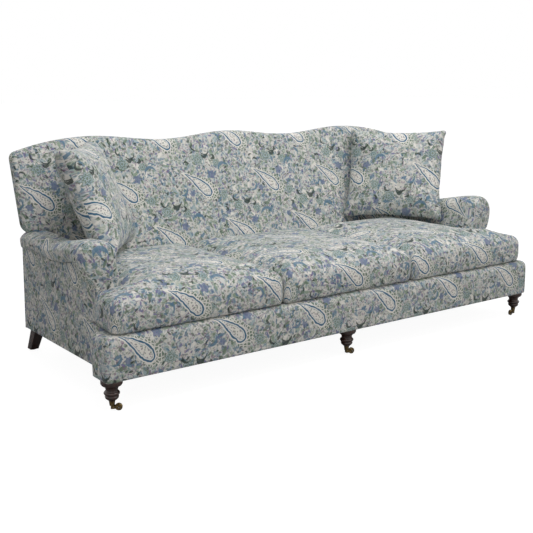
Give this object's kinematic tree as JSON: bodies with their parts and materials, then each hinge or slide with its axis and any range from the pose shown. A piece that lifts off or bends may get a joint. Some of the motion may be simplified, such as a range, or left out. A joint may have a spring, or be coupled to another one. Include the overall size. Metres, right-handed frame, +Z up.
{
  "type": "camelback sofa",
  "caption": "Upholstered camelback sofa with humped back, rolled arms, loose T-shaped seat cushions, corner pillows and turned front legs on casters.",
  "frame": {"origin": "on the floor, in the middle of the sofa's footprint", "axes": "+X to the right as seen from the front along the seat's length, +Y towards the back, +Z up"},
  "size_m": [2.44, 1.0306, 0.97],
  "materials": {
    "upholstery": "woven printed cloth",
    "leg_wood": "dark stained, satin",
    "frame_timber": "planed hardwood",
    "antique_brass": "aged brass",
    "steel": "zinc plated",
    "webbing": "jute",
    "filling": "foam and fibre",
    "decking": "cotton cloth over felt",
    "dust_cloth": "black cambric",
    "glide": "nylon"
  },
  "bodies": {
    "frame": {"arm_left": "upholstery", "arm_post_left": "frame_timber", "arm_post_right": "frame_timber", "arm_rail_left": "frame_timber", "arm_rail_right": "frame_timber", "arm_right": "upholstery", "back_lower_rails": "frame_timber", "back_posts": "frame_timber", "back_top_rail": "frame_timber", "back_webbing": "webbing", "caster_socket_centre": "antique_brass", "caster_socket_left": "antique_brass", "caster_socket_right": "antique_brass", "corner_blocks": "frame_timber", "cross_rails": "frame_timber", "dust_cover": "dust_cloth", "front_border": "upholstery", "front_rail": "frame_timber", "inside_back": "upholstery", "leg_bolts": "steel", "leg_front_centre": "leg_wood", "leg_front_left": "leg_wood", "leg_front_right": "leg_wood", "leg_plates": "steel", "leg_rear_centre": "leg_wood", "leg_rear_left": "leg_wood", "leg_rear_right": "leg_wood", "outside_arm_left": "upholstery", "outside_arm_right": "upholstery", "outside_back": "upholstery", "rear_glides": "glide", "rear_rail": "frame_timber", "seat_deck": "decking", "seat_webbing": "webbing", "side_rail_left": "frame_timber", "side_rail_right": "frame_timber"},
    "caster_left": {"caster_horn_left": "antique_brass", "caster_pin_left": "steel"},
    "wheel_left": {"caster_wheel_left": "antique_brass"},
    "seat_cushion_left": {"seat_cushion_left": "upholstery", "cushion_core_left": "filling"},
    "caster_centre": {"caster_horn_centre": "antique_brass", "caster_pin_centre": "steel"},
    "wheel_centre": {"caster_wheel_centre": "antique_brass"},
    "seat_cushion_centre": {"seat_cushion_centre": "upholstery", "cushion_core_centre": "filling"},
    "caster_right": {"caster_horn_right": "antique_brass", "caster_pin_right": "steel"},
    "wheel_right": {"caster_wheel_right": "antique_brass"},
    "seat_cushion_right": {"seat_cushion_right": "upholstery", "cushion_core_right": "filling"},
    "pillow_left": {"pillow_left": "upholstery", "pillow_insert_left": "filling"},
    "pillow_right": {"pillow_right": "upholstery", "pillow_insert_right": "filling"}
  },
  "joints": [
    {"name": "caster_swivel_left", "type": "hinge", "parent": "frame", "child": "caster_left", "pos_m": [-1.178, -0.47126, 0.02], "axis": [0, 0, 1], "continuous": true},
    {"name": "wheel_roll_left", "type": "hinge", "parent": "caster_left", "child": "wheel_left", "pos_m": [-1.15635, -0.48376, 0.014], "axis": [0.5, 0.866, 0], "continuous": true},
    {"name": "caster_swivel_centre", "type": "hinge", "parent": "frame", "child": "caster_centre", "pos_m": [0, -0.47126, 0.02], "axis": [0, 0, 1], "continuous": true},
    {"name": "wheel_roll_centre", "type": "hinge", "parent": "caster_centre", "child": "wheel_centre", "pos_m": [0.02462, -0.4756, 0.014], "axis": [0.1736, 0.9848, 0], "continuous": true},
    {"name": "caster_swivel_right", "type": "hinge", "parent": "frame", "child": "caster_right", "pos_m": [1.178, -0.47126, 0.02], "axis": [0, 0, 1], "continuous": true},
    {"name": "wheel_roll_right", "type": "hinge", "parent": "caster_right", "child": "wheel_right", "pos_m": [1.15324, -0.47474, 0.014], "axis": [0.1392, -0.9903, 0], "continuous": true},
    {"name": "seat_lift_left", "type": "slide", "parent": "frame", "child": "seat_cushion_left", "axis": [0, 0, 1], "range_m": [0, 0.4]},
    {"name": "seat_lift_centre", "type": "slide", "parent": "frame", "child": "seat_cushion_centre", "axis": [0, 0, 1], "range_m": [0, 0.4]},
    {"name": "seat_lift_right", "type": "slide", "parent": "frame", "child": "seat_cushion_right", "axis": [0, 0, 1], "range_m": [0, 0.4]},
    {"name": "pillow_lift_left", "type": "slide", "parent": "seat_cushion_left", "child": "pillow_left", "axis": [0, 0, 1], "range_m": [0, 0.4]},
    {"name": "pillow_lift_right", "type": "slide", "parent": "seat_cushion_right", "child": "pillow_right", "axis": [0, 0, 1], "range_m": [0, 0.4]}
  ]
}
